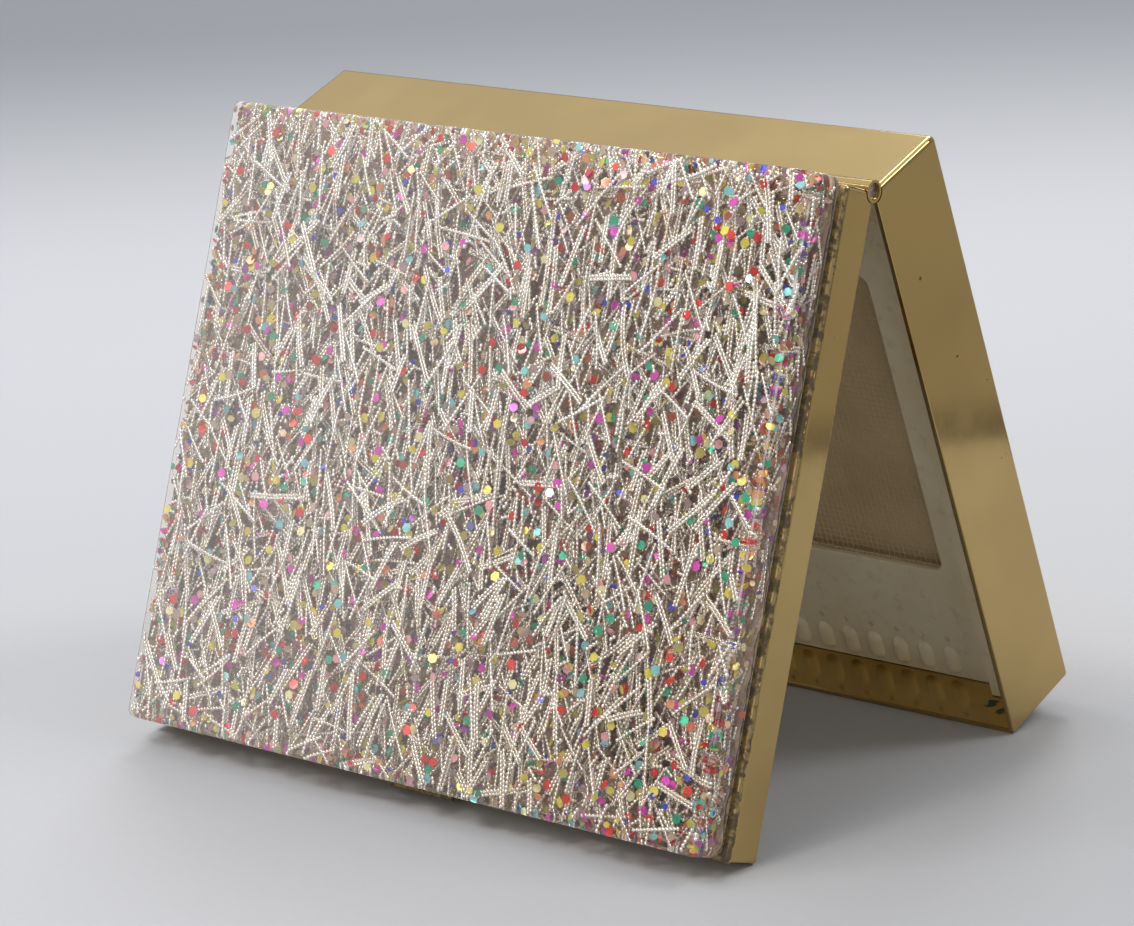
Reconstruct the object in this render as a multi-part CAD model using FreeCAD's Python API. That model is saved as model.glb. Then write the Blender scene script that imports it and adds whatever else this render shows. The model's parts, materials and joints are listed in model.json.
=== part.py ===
import FreeCAD, Part
import math
import os

# A rectangular vanity powder compact standing open on its two free edges, like a tent.
# It is drawn closed and then opened. In the closed frame x runs along the hinge, s runs from the
# hinge axis to the free edge, and n is the depth: the deep base lies at n > 0, the lid at n < 0,
# and the rims meet at n = 0. All lengths are millimetres.

# Overall size and stance
WIDTH = 76.0               # along the hinge
LENGTH = 63.8              # from the hinge axis to the outside of the free edge
BASE_DEPTH = 10.6          # rim plane to the outside of the base's floor
LID_DEPTH = 4.4            # rim plane to the outside of the lid's floor
HALF_OPENING = 19.7        # each leaf leans this many degrees off the vertical

# Folded sheet brass
SHEET = 0.6
RIM_GAP = 0.05             # half of the gap between the closed rims
BEND_OUTER = 0.5
BEND_INNER = 0.2
RIM_ROUND = 0.12
SEAM_ROUND = 0.5
SEAM_WIDTH = 0.12
SEAM_DEPTH = 0.5

# Hinge
BARREL_RADIUS = 1.1
BORE_RADIUS = 0.84
PIN_RADIUS = 0.8
PIN_RECESS = 0.4           # hollow length left at each end of the barrel
NEST_RADIUS = 1.25         # hollow cut in both pans for the barrel
KNUCKLES = 5
KNUCKLE_GAP = 0.1
LEAF = 0.45                # thickness of the soldered hinge leaves
LEAF_END_GAP = 0.4
BASE_LEAF_REACH = 5.0
LID_LEAF_REACH = 3.5

# Acrylic slab on the lid
SLAB_X0, SLAB_X1 = -36.7, 37.4
SLAB_S0, SLAB_S1 = -0.55, 63.5
SLAB = 4.0
SLAB_CORNER = 0.9
SLAB_FRONT_ROUND = 0.5
GLUE = 0.55
GLUE_INSET = 0.55

# Mirror in the lid
MIRROR_X = 35.4            # half width of the glass
MIRROR_S0, MIRROR_S1 = 2.6, 61.1
MIRROR_CORNER = 2.0
BACKING = 0.4
GLASS = 1.4
MIRROR_FRAME_SHEET = 0.35
MIRROR_FRAME_MARGIN = 0.7  # from the glass's edge to the outside of the frame
MIRROR_LIP = 1.9           # how far the lip runs in over the glass's edge

# Catch
TONGUE_WIDTH = 9.0
TONGUE = 0.35
TONGUE_REACH = 2.3         # how far it enters the base
NIB = 0.18
KEEPER_WIDTH = 12.0
KEEPER = 0.25
KEEPER_FIT = 0.08          # between nib and keeper as they pass
THUMB_WIDTH = 8.0
THUMB_PLATE = 0.3
THUMB_LIP = 0.6

# Powder sifter in the base
PANEL_TOP = 6.1            # depth of the sifter's face below the rim
PANEL = 1.0
PANEL_X = 37.0
PANEL_S0, PANEL_S1 = 1.2, 63.1
WINDOW_X = 28.9
WINDOW_S0, WINDOW_S1 = 14.4, 49.6
WINDOW_CORNER = 1.2
REBATE = 2.6               # ledge under the window for net and ring
REBATE_DEPTH = 0.45
NET = 0.15
RAIL_FOOT_X = 31.4
RAIL_TOP_X = 32.7
RAIL_TOP = 4.4             # depth of the rails' tops below the rim
FLUTES = 18
FLUTE_PITCH = 3.2
FLUTE_RADIUS = 1.1
FLUTE_RISE = 0.55
FLUTE_S0, FLUTE_S1 = 60.3, 61.8
PIT_RADIUS = 0.33
PIT_DEPTH = 0.4
PIT_S = 58.4

# Powder tray and powder
TRAY_SHEET = 0.3
TRAY_X = 36.8
TRAY_S0, TRAY_S1 = 1.0, 62.8
WELL_X = 33.0
WELL_S0, WELL_S1 = 4.6, 59.2
WELL_CORNER = 3.0
WELL_FLOOR_GAP = 0.05
POWDER_GAP = 0.1
POWDER_TOP = 7.9

# Detent nibs on the base's side walls, which hold the sifter down
DETENT_LENGTH = 4.0
DETENT_RISE = 0.8
DETENT_OUT = 0.75
DETENT_GAP = 0.1
DETENT_PLACES = (12.0, 52.0)

V = FreeCAD.Vector
ALONG_X = V(1, 0, 0)
ALONG_S = V(0, 1, 0)
ALONG_N = V(0, 0, 1)
BIG = 200.0
NEAR = 1e-3


def block(x0, x1, s0, s1, n0, n1):
    """A box between two corners of the closed frame."""
    return Part.makeBox(x1 - x0, s1 - s0, n1 - n0, V(x0, s0, n0))


def edges_along(shape, direction):
    """The straight edges of a shape that run along a direction."""
    found = []
    for edge in shape.Edges:
        if not isinstance(edge.Curve, Part.Line):
            continue
        run = edge.lastVertex().Point - edge.firstVertex().Point
        if run.cross(direction).Length < NEAR * run.Length:
            found.append(edge)
    return found


def edges_at_depth(shape, n):
    """Every edge of a shape that lies in the plane at depth n."""
    return [
        edge for edge in shape.Edges
        if abs(edge.BoundBox.ZMin - n) < NEAR and abs(edge.BoundBox.ZMax - n) < NEAR
    ]


def rounded_block(x0, x1, s0, s1, n0, n1, corner):
    """A box whose four edges along n are rounded."""
    box = block(x0, x1, s0, s1, n0, n1)
    return box.makeFillet(corner, edges_along(box, ALONG_N))


def to_lid_side(shape):
    """Mirrors a shape drawn at n > 0 to the lid's side of the rim plane."""
    return shape.mirror(V(0, 0, 0), ALONG_N)


def corner_seams(depth):
    """Thin slots on the four upright corners, where the folded walls meet edge to edge."""
    slots = []
    for x in (-WIDTH / 2, WIDTH / 2):
        for s in (0.0, LENGTH):
            slot = block(-SEAM_WIDTH / 2, SEAM_WIDTH / 2, -SEAM_DEPTH, SEAM_DEPTH,
                         -BIG, depth - BEND_OUTER)
            inward = 45.0 if (x > 0) == (s > 0) else -45.0
            slot.rotate(V(0, 0, 0), ALONG_N, -inward)
            slot.translate(V(x, s, 0))
            slots.append(slot)
    return slots


def pan(depth):
    """A tray folded from sheet: its rim faces the rim plane and its floor is at depth."""
    half = WIDTH / 2
    outer = rounded_block(-half, half, 0.0, LENGTH, RIM_GAP, depth, SEAM_ROUND)
    outer = outer.makeFillet(BEND_OUTER, edges_at_depth(outer, depth))
    floor = depth - SHEET
    inner = block(SHEET - half, half - SHEET, SHEET, LENGTH - SHEET, -1.0, floor)
    inner = inner.makeFillet(BEND_INNER, edges_at_depth(inner, floor))
    tray = outer.cut(inner)
    tray = tray.makeFillet(RIM_ROUND, edges_at_depth(tray, RIM_GAP))
    nest = Part.makeCylinder(NEST_RADIUS, BIG, V(-BIG / 2, 0, 0), ALONG_X)
    return tray.cut(corner_seams(depth) + [nest])


def knuckle_spans(first):
    """The x spans of every second knuckle, starting from knuckle number first."""
    pitch = WIDTH / KNUCKLES
    spans = []
    for k in range(first, KNUCKLES, 2):
        left = -WIDTH / 2 + k * pitch
        x0 = left + (KNUCKLE_GAP / 2 if k > 0 else 0.0)
        x1 = left + pitch - (KNUCKLE_GAP / 2 if k < KNUCKLES - 1 else 0.0)
        spans.append((x0, x1))
    return spans


def hinge_leaf(spans, reach):
    """A strip soldered inside a hinge wall, with the knuckles rolled from its edge."""
    half = WIDTH / 2 - SHEET - LEAF_END_GAP
    root = NEST_RADIUS + LEAF_END_GAP
    pieces = []
    for x0, x1 in spans:
        pieces.append(Part.makeCylinder(BARREL_RADIUS, x1 - x0, V(x0, 0, 0), ALONG_X))
        pieces.append(block(max(x0, -half), min(x1, half), SHEET, SHEET + LEAF, 0.0, root))
    strip = block(-half, half, SHEET, SHEET + LEAF, root, reach)
    bore = Part.makeCylinder(BORE_RADIUS, BIG, V(-BIG / 2, 0, 0), ALONG_X)
    return strip.fuse(pieces).removeSplitter().cut(bore)


def hinge_pin():
    length = WIDTH - 2 * PIN_RECESS
    return Part.makeCylinder(PIN_RADIUS, length, V(-length / 2, 0, 0), ALONG_X)


def glue_film():
    return block(SLAB_X0 + GLUE_INSET, SLAB_X1 - GLUE_INSET, GLUE_INSET,
                 SLAB_S1 - GLUE_INSET, LID_DEPTH, LID_DEPTH + GLUE)


def confetti_slab():
    """The clear slab: its corners and the edges of its show face are rounded by polishing."""
    back = LID_DEPTH + GLUE
    front = back + SLAB
    slab = rounded_block(SLAB_X0, SLAB_X1, SLAB_S0, SLAB_S1, back, front, SLAB_CORNER)
    return slab.makeFillet(SLAB_FRONT_ROUND, edges_at_depth(slab, front))


def mirror_backing():
    top = LID_DEPTH - SHEET
    return rounded_block(-MIRROR_X, MIRROR_X, MIRROR_S0, MIRROR_S1, top - BACKING, top,
                         MIRROR_CORNER)


def mirror_glass():
    top = LID_DEPTH - SHEET - BACKING
    return rounded_block(-MIRROR_X, MIRROR_X, MIRROR_S0, MIRROR_S1, top - GLASS, top,
                         MIRROR_CORNER)


def mirror_frame():
    """A pressed rim: a skirt down to the lid's floor and a lip over the edge of the glass."""
    floor = LID_DEPTH - SHEET
    lip_under = floor - BACKING - GLASS
    lip_top = lip_under - MIRROR_FRAME_SHEET
    grow = MIRROR_FRAME_MARGIN
    inside = grow - MIRROR_FRAME_SHEET
    inset = MIRROR_LIP
    outer = rounded_block(-MIRROR_X - grow, MIRROR_X + grow, MIRROR_S0 - grow,
                          MIRROR_S1 + grow, lip_top, floor, MIRROR_CORNER + grow)
    hollow = rounded_block(-MIRROR_X - inside, MIRROR_X + inside, MIRROR_S0 - inside,
                           MIRROR_S1 + inside, lip_under, BIG, MIRROR_CORNER + inside)
    window = rounded_block(inset - MIRROR_X, MIRROR_X - inset, MIRROR_S0 + inset,
                           MIRROR_S1 - inset, -BIG, BIG, MIRROR_CORNER)
    frame = outer.cut([hollow, window])
    return frame.makeFillet(MIRROR_FRAME_SHEET * 0.6, edges_at_depth(frame, lip_top))


def lid_tongue():
    """The catch's tongue, soldered in the lid, with a nib near its tip. Drawn at n < 0."""
    wall = LENGTH - SHEET
    half = TONGUE_WIDTH / 2
    outside = wall - KEEPER - KEEPER_FIT - NIB
    foot = block(-half, half, outside, wall, 0.9 - LID_DEPTH + SHEET, -0.9)
    blade = block(-half, half, outside - TONGUE, outside, 0.9 - LID_DEPTH + SHEET, TONGUE_REACH)
    nib_n = TONGUE_REACH - 0.6
    nib = Part.makeCylinder(NIB, TONGUE_WIDTH - 2, V(1 - half, outside, nib_n), ALONG_X)
    return blade.fuse([foot, nib]).removeSplitter()


def base_keeper():
    """The strip inside the base's free wall that the nib snaps under."""
    wall = LENGTH - SHEET
    half = KEEPER_WIDTH / 2
    strip = block(-half, half, wall - KEEPER, wall, 0.45, 1.2)
    near_rim = [e for e in edges_along(strip, ALONG_X) if e.BoundBox.YMax < wall - NEAR]
    return strip.makeFillet(KEEPER * 0.4, near_rim)


def thumb_piece():
    """The lip that a thumbnail lifts, soldered outside the lid's free wall."""
    half = THUMB_WIDTH / 2
    top = LID_DEPTH - 0.05
    plate = block(-half, half, LENGTH, LENGTH + THUMB_PLATE, top - 2.0, top)
    lip = block(-half, half, LENGTH, LENGTH + THUMB_LIP, top - 0.6, top)
    body = plate.fuse(lip).removeSplitter()
    outer = [e for e in edges_along(body, ALONG_X) if e.BoundBox.YMin > LENGTH + THUMB_LIP - NEAR]
    return body.makeFillet(0.25, outer)


def side_rail(sign):
    """A raised border along one side of the sifter, with a sloping inner face."""
    profile = [
        (RAIL_FOOT_X, PANEL_TOP + NEAR),
        (RAIL_TOP_X, RAIL_TOP),
        (PANEL_X, RAIL_TOP),
        (PANEL_X, PANEL_TOP + NEAR),
    ]
    points = [V(sign * x, PANEL_S0, n) for x, n in profile]
    face = Part.Face(Part.makePolygon(points + points[:1]))
    return face.extrude(V(0, PANEL_S1 - PANEL_S0, 0))


def flute(x):
    """One rounded grip rib, standing proud of the sifter's face."""
    centre = PANEL_TOP + FLUTE_RADIUS - FLUTE_RISE
    rod = Part.makeCylinder(FLUTE_RADIUS, FLUTE_S1 - FLUTE_S0, V(x, FLUTE_S0, centre), ALONG_S)
    ends = [Part.makeSphere(FLUTE_RADIUS, V(x, s, centre)) for s in (FLUTE_S0, FLUTE_S1)]
    keep = block(-BIG, BIG, -BIG, PANEL_S1, -BIG, PANEL_TOP + PANEL / 2)
    return rod.fuse(ends).common(keep)


def flute_places():
    return [(k - (FLUTES - 1) / 2) * FLUTE_PITCH for k in range(FLUTES)]


def sifter_frame():
    """The moulded frame over the powder: window, grip flutes, pits and side rails."""
    bottom = PANEL_TOP + PANEL
    plate = block(-PANEL_X, PANEL_X, PANEL_S0, PANEL_S1, PANEL_TOP, bottom)
    window = rounded_block(-WINDOW_X, WINDOW_X, WINDOW_S0, WINDOW_S1, -BIG, BIG, WINDOW_CORNER)
    rebate = rounded_block(-WINDOW_X - REBATE, WINDOW_X + REBATE, WINDOW_S0 - REBATE,
                           WINDOW_S1 + REBATE, bottom - REBATE_DEPTH, BIG,
                           WINDOW_CORNER + REBATE)
    plate = plate.cut(window)
    plate = plate.makeFillet(0.25, window_edges(plate))
    plate = plate.cut(rebate)
    pits = [
        Part.makeCylinder(PIT_RADIUS, PIT_DEPTH, V(x, PIT_S, PANEL_TOP), ALONG_N)
        for x in flute_places()
    ]
    raised = [side_rail(-1), side_rail(1)] + [flute(x) for x in flute_places()]
    return plate.cut(pits).fuse(raised).removeSplitter()


def window_edges(plate):
    """The edges of the window on the sifter's face."""
    return [
        edge for edge in edges_at_depth(plate, PANEL_TOP)
        if edge.BoundBox.XMax < WINDOW_X + NEAR and edge.BoundBox.XMin > -WINDOW_X - NEAR
        and edge.BoundBox.YMin > WINDOW_S0 - NEAR and edge.BoundBox.YMax < WINDOW_S1 + NEAR
    ]


def net_outline(n0, n1, edge_gap):
    grow = REBATE - edge_gap
    return rounded_block(-WINDOW_X - grow, WINDOW_X + grow, WINDOW_S0 - grow,
                         WINDOW_S1 + grow, n0, n1, WINDOW_CORNER + grow)


def sifter_net():
    top = PANEL_TOP + PANEL - REBATE_DEPTH
    return net_outline(top, top + NET, 0.1)


def net_ring():
    """The ring that clamps the net in the rebate under the window."""
    top = PANEL_TOP + PANEL - REBATE_DEPTH + NET
    window = rounded_block(-WINDOW_X, WINDOW_X, WINDOW_S0, WINDOW_S1, -BIG, BIG, WINDOW_CORNER)
    return net_outline(top, PANEL_TOP + PANEL, 0.05).cut(window)


def well(n0, n1, inset):
    return rounded_block(inset - WELL_X, WELL_X - inset, WELL_S0 + inset, WELL_S1 - inset,
                         n0, n1, WELL_CORNER - inset)


def powder_tray():
    """A thin pressed tray: the sifter lies on its flange."""
    top = PANEL_TOP + PANEL
    floor = BASE_DEPTH - SHEET - WELL_FLOOR_GAP
    flange = block(-TRAY_X, TRAY_X, TRAY_S0, TRAY_S1, top, top + TRAY_SHEET)
    body = flange.fuse(well(top, floor, 0.0)).removeSplitter()
    return body.cut(well(-BIG, floor - TRAY_SHEET, TRAY_SHEET))


def powder_cake():
    floor = BASE_DEPTH - SHEET - WELL_FLOOR_GAP - TRAY_SHEET
    return well(POWDER_TOP, floor, TRAY_SHEET + POWDER_GAP)


def frame_detents():
    """Four nibs raised on the side walls, just over the sifter's rails."""
    wall = WIDTH / 2 - SHEET
    n1 = RAIL_TOP - DETENT_GAP
    nibs = []
    for sign in (-1, 1):
        for s in DETENT_PLACES:
            x0, x1 = sorted((sign * (wall - DETENT_OUT), sign * wall))
            nib = block(x0, x1, s - DETENT_LENGTH / 2, s + DETENT_LENGTH / 2, n1 - DETENT_RISE, n1)
            top = [e for e in edges_along(nib, ALONG_S)
                   if abs(abs(e.BoundBox.XMin) - wall) > NEAR and e.BoundBox.ZMax < n1 - NEAR]
            nibs.append(nib.makeFillet(DETENT_RISE * 0.6, top))
    return Part.makeCompound(nibs)


def leaf_placement(lean):
    """Turns the closed frame about the hinge so that a leaf hangs down at its lean."""
    return FreeCAD.Rotation(ALONG_X, -90.0 + lean)


def main():
    base = {
        "base_pan": pan(BASE_DEPTH),
        "base_hinge_leaf": hinge_leaf(knuckle_spans(0), BASE_LEAF_REACH),
        "hinge_pin": hinge_pin(),
        "base_keeper": base_keeper(),
        "sifter_frame": sifter_frame(),
        "sifter_net": sifter_net(),
        "net_ring": net_ring(),
        "powder_tray": powder_tray(),
        "powder_cake": powder_cake(),
        "frame_detents": frame_detents(),
    }
    lid = {
        "lid_pan": to_lid_side(pan(LID_DEPTH)),
        "lid_hinge_leaf": to_lid_side(hinge_leaf(knuckle_spans(1), LID_LEAF_REACH)),
        "glue_film": to_lid_side(glue_film()),
        "confetti_slab": to_lid_side(confetti_slab()),
        "mirror_backing": to_lid_side(mirror_backing()),
        "mirror_glass": to_lid_side(mirror_glass()),
        "mirror_frame": to_lid_side(mirror_frame()),
        "thumb_piece": to_lid_side(thumb_piece()),
        "lid_tongue": lid_tongue(),
    }
    placed = {}
    for leaf, lean in ((base, HALF_OPENING), (lid, -HALF_OPENING)):
        for name, shape in leaf.items():
            placed[name] = shape.copy()
            placed[name].Placement = FreeCAD.Placement(V(0, 0, 0), leaf_placement(lean))

    # The origin goes on the surface the compact stands on, under the middle of its outline.
    box = Part.makeCompound(list(placed.values())).optimalBoundingBox(False, False)
    shift = V(-(box.XMin + box.XMax) / 2, -(box.YMin + box.YMax) / 2, -box.ZMin)
    os.makedirs("parts", exist_ok=True)
    for name, shape in placed.items():
        shape.translate(shift)
        shape.exportStep("parts/" + name + ".step")
        print(name, "solids", len(shape.Solids), "valid", shape.isValid(),
              "volume", round(shape.Volume, 2))
    print("hinge axis at", [round(v, 4) for v in shift], "box", box)


main()
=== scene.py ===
"""Looks of a brass powder compact with a confetti-acrylic lid, standing open like a tent.

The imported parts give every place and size. Most shapes here are drawn in the closed compact's own
frame, in millimetres: x runs along the hinge, s from the hinge axis to the free edge, and n is the
depth, with the base at n > 0 and the lid at n < 0. The lid's outward depth is m = -n.
"""
import json
import math

import bpy
import numpy as np
from mathutils import Matrix, Vector


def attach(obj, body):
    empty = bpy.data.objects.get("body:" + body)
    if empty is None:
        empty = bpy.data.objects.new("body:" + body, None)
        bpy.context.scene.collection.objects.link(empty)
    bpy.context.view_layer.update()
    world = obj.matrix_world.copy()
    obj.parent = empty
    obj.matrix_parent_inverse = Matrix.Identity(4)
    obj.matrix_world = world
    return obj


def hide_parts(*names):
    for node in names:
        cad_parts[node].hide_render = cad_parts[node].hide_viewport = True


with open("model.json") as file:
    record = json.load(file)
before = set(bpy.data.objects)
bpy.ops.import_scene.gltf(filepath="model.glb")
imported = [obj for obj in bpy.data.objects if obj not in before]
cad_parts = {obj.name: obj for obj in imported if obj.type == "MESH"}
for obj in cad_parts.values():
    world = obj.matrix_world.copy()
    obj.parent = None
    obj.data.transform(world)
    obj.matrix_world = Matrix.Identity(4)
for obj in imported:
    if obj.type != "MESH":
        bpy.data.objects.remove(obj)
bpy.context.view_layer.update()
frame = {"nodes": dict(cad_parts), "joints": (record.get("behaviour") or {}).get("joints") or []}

MM = 0.001
JOINT = frame["joints"][0]
HALF_OPENING = math.radians(-JOINT["range_deg"][0] / 2)
AXIS_AT = Vector(JOINT["pos_m"])
NODES = frame["nodes"]

# Camera: places in metres, angles in degrees, lens and sensor in millimetres
CAMERA_FROM_HINGE = (0.26748, -0.31553)
CAMERA_HEIGHT = 0.14503
CAMERA_YAW = 40.405
CAMERA_PITCH = 15.770
CAMERA_ROLL = -2.675
LENS = 135.51
SENSOR = 36.0
CLIP = (0.01, 20.0)


def leaf_frame(lean):
    """Closed frame in millimetres to the row frame in metres, for a leaf that leans this much."""
    turn = Matrix.Rotation(lean - math.pi / 2, 4, "X")
    return Matrix.Translation(AXIS_AT) @ turn @ Matrix.Scale(MM, 4)


LEAF = {"base": leaf_frame(HALF_OPENING), "lid": leaf_frame(-HALF_OPENING)}


def extent(node, body):
    """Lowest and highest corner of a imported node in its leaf's closed frame, in millimetres."""
    back = LEAF[body].inverted()
    points = np.array([back @ v.co for v in NODES[node].data.vertices])
    return points.min(0), points.max(0)


SLAB_LOW, SLAB_HIGH = extent("confetti_slab", "lid")
SLAB_LOW[2], SLAB_HIGH[2] = -SLAB_HIGH[2], -SLAB_LOW[2]
EDGE_ROUND = 0.5           # of the slab's front edges
AHEAD = (-math.sin(math.radians(CAMERA_YAW)), math.cos(math.radians(CAMERA_YAW)))
ASIDE = (AHEAD[1], -AHEAD[0])                # level directions, away from the camera and to its right


# ---------------------------------------------------------------- meshes

def add_piece(name, body, points, faces, material, smooth=True):
    """A mesh drawn in a leaf's closed frame becomes a piece that rides on that leaf."""
    place = np.array(LEAF[body])
    points = np.asarray(points, float) @ place[:3, :3].T + place[:3, 3]
    mesh = bpy.data.meshes.new(name)
    mesh.from_pydata(points.tolist(), [], faces)
    mesh.update()
    if smooth:
        mesh.shade_smooth()
    mesh.materials.append(material)
    piece = bpy.data.objects.new(name, mesh)
    bpy.context.scene.collection.objects.link(piece)
    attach(piece, body)
    return piece


def ring_quads(start, rings, sides):
    """The quads between rings of points that follow one another from index start."""
    ring = np.arange(rings - 1)[:, None] * sides + start
    side = np.arange(sides)[None, :]
    beside = (side + 1) % sides
    quads = np.stack([ring + side, ring + beside, ring + sides + beside, ring + sides + side], -1)
    return quads.reshape(-1, 4)


def tube(points, radii, sides, start):
    """Points and faces of a closed tube along a path. radii holds one radius for each point."""
    run = np.gradient(points, axis=0)
    run /= np.linalg.norm(run, axis=1)[:, None]
    side_a = np.cross(run, (0.0, 0.0, 1.0))
    side_a /= np.linalg.norm(side_a, axis=1)[:, None]
    side_b = np.cross(side_a, run)
    turn = np.arange(sides) * 2 * math.pi / sides
    ring = np.cos(turn)[:, None] * side_a[:, None] + np.sin(turn)[:, None] * side_b[:, None]
    skin = points[:, None] + ring * np.asarray(radii)[:, None, None]
    faces = ring_quads(start, len(points), sides).tolist()
    last = start + (len(points) - 1) * sides
    faces.append([start + k for k in range(sides)][::-1])
    faces.append([last + k for k in range(sides)])
    return skin.reshape(-1, 3), faces


# ---------------------------------------------------------------- material helpers

def new_material(name):
    material = bpy.data.materials.new(name)
    material.use_nodes = True
    material.node_tree.nodes.clear()
    return material, material.node_tree


def add(tree, kind, values=None, **settings):
    """A new node. settings are its properties; values are its inputs, numbers or sockets."""
    made = tree.nodes.new("ShaderNode" + kind)
    for key, value in settings.items():
        setattr(made, key, value)
    for key, value in (values or {}).items():
        if isinstance(value, bpy.types.NodeSocket):
            tree.links.new(value, made.inputs[key])
        else:
            made.inputs[key].default_value = value
    return made


def closed_coords(tree, body):
    """Coordinates in the leaf's closed frame, in millimetres."""
    back = LEAF[body].inverted()
    coords = add(tree, "TexCoord").outputs["Object"]
    return add(tree, "Mapping", {
        "Vector": coords,
        "Location": back.to_translation(),
        "Rotation": back.to_euler(),
        "Scale": (1 / MM, 1 / MM, 1 / MM),
    }).outputs[0]


def stretched(tree, where, scale):
    return add(tree, "Mapping", {"Vector": where, "Scale": scale}).outputs[0]


def noise(tree, where, scale, detail=3.0, rough=0.5):
    values = {"Vector": where, "Scale": scale, "Detail": detail, "Roughness": rough}
    return add(tree, "TexNoise", values).outputs["Fac"]


def remap(tree, value, low, high, to_low=0.0, to_high=1.0):
    """Smooth step of value from low to high."""
    return add(tree, "MapRange", {
        "Value": value, "From Min": low, "From Max": high, "To Min": to_low, "To Max": to_high,
    }, interpolation_type="SMOOTHSTEP").outputs[0]


def maths(tree, operation, a, b=0.0):
    return add(tree, "Math", {0: a, 1: b}, operation=operation).outputs[0]


def times_plus(tree, a, times, plus):
    return add(tree, "Math", {0: a, 1: times, 2: plus}, operation="MULTIPLY_ADD").outputs[0]


def rgba(colour):
    return (*colour, 1.0)


def mix(tree, factor, a, b):
    """From colour a at factor 0 to colour b at factor 1."""
    a, b = (c if isinstance(c, bpy.types.NodeSocket) else rgba(c) for c in (a, b))
    return add(tree, "Mix", {0: factor, 6: a, 7: b}, data_type="RGBA").outputs[2]


def bump(tree, height, strength, depth_mm):
    values = {"Height": height, "Strength": strength, "Distance": depth_mm * MM}
    return add(tree, "Bump", values).outputs[0]


def surface(tree, values):
    """A Principled surface on the material's output."""
    shader = add(tree, "BsdfPrincipled", values)
    add(tree, "OutputMaterial", {"Surface": shader.outputs[0]})


def near_spot(tree, where, spot, radius, ragged=0.25):
    """1 inside a ragged spot of this radius, 0 outside."""
    away = add(tree, "VectorMath", {0: where, 1: spot}, operation="DISTANCE").outputs["Value"]
    wobble = noise(tree, where, 1.6, 4.0)
    edge = times_plus(tree, wobble, radius * ragged * 4, -radius * ragged * 2)
    away = maths(tree, "ADD", away, edge)
    return remap(tree, away, radius * 0.7, radius, 1.0, 0.0)


# ---------------------------------------------------------------- materials

BRASS_LIGHT = (0.555, 0.395, 0.158)
BRASS_DARK = (0.49, 0.345, 0.137)
GILT = (0.60, 0.44, 0.20)
TARNISH = (0.085, 0.062, 0.030)
VERDIGRIS = (0.045, 0.075, 0.04)


def brass(name, body, spots=(), green=(), glue_line=None):
    """Polished lacquered brass: fine rolling grain, faint handling marks, specks and tarnish."""
    material, tree = new_material(name)
    where = closed_coords(tree, body)
    patches = remap(tree, noise(tree, where, 0.045, 3.0), 0.35, 0.65)
    colour = mix(tree, patches, BRASS_DARK, BRASS_LIGHT)
    walls = noise(tree, stretched(tree, where, (0.25, 0.25, 7.0)), 1.0, 3.0)
    floors = noise(tree, stretched(tree, where, (7.0, 0.25, 0.25)), 1.0, 3.0)
    grain = maths(tree, "ADD", walls, floors)
    smudge = remap(tree, noise(tree, where, 0.16, 5.0, 0.6), 0.45, 0.7)
    rough = times_plus(tree, grain, 0.055, 0.035)
    rough = maths(tree, "ADD", rough, maths(tree, "MULTIPLY", smudge, 0.05))
    fine = remap(tree, noise(tree, where, 2.4, 2.0), 0.75, 0.80)
    dirt = maths(tree, "MULTIPLY", fine, remap(tree, noise(tree, where, 0.09, 2.0), 0.5, 0.62))
    for spot, radius in spots:
        dirt = maths(tree, "MAXIMUM", dirt, near_spot(tree, where, spot, radius))
    if glue_line is not None:
        depth = add(tree, "SeparateXYZ", {0: where}).outputs[2]
        ragged = maths(tree, "MULTIPLY", noise(tree, where, 0.75, 6.0, 0.65), 1.1)
        depth = maths(tree, "SUBTRACT", maths(tree, "MULTIPLY", depth, -1.0), ragged)
        patchy = remap(tree, noise(tree, where, 0.8, 6.0, 0.75), 0.44, 0.54, 0.5, 1.0)
        line = remap(tree, depth, glue_line - 0.08, glue_line)
        dirt = maths(tree, "MAXIMUM", dirt, maths(tree, "MULTIPLY", line, patchy))
    colour = mix(tree, dirt, colour, TARNISH)
    for spot, radius in green:
        patch = near_spot(tree, where, spot, radius, 0.45)
        colour = mix(tree, patch, colour, VERDIGRIS)
        dirt = maths(tree, "MAXIMUM", dirt, patch)
    rough = maths(tree, "ADD", rough, maths(tree, "MULTIPLY", dirt, 0.45))
    metal = maths(tree, "SUBTRACT", 1.0, maths(tree, "MULTIPLY", dirt, 0.8))
    surface(tree, {
        "Base Color": colour,
        "Metallic": metal,
        "Roughness": rough,
        "Normal": bump(tree, grain, 0.12, 0.01),
    })
    return material


def gilt(name, body):
    """Thin gilt brass of the mirror's rim and the powder tray, a little duller in patches."""
    material, tree = new_material(name)
    where = closed_coords(tree, body)
    worn = remap(tree, noise(tree, where, 0.2, 5.0, 0.6), 0.5, 0.72)
    rough = times_plus(tree, worn, 0.22, 0.13)
    surface(tree, {
        "Base Color": mix(tree, worn, GILT, BRASS_DARK),
        "Metallic": 1.0,
        "Roughness": rough,
        "Normal": bump(tree, noise(tree, where, 3.0, 4.0), 0.15, 0.01),
    })
    return material


def steel(name):
    """The hinge pin's grey steel, dull from wear."""
    material, tree = new_material(name)
    where = closed_coords(tree, "base")
    stain = remap(tree, noise(tree, where, 1.2, 4.0), 0.4, 0.7)
    surface(tree, {
        "Base Color": mix(tree, stain, (0.50, 0.48, 0.50), (0.24, 0.20, 0.19)),
        "Metallic": 1.0,
        "Roughness": remap(tree, stain, 0.0, 1.0, 0.25, 0.5),
    })
    return material


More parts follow.
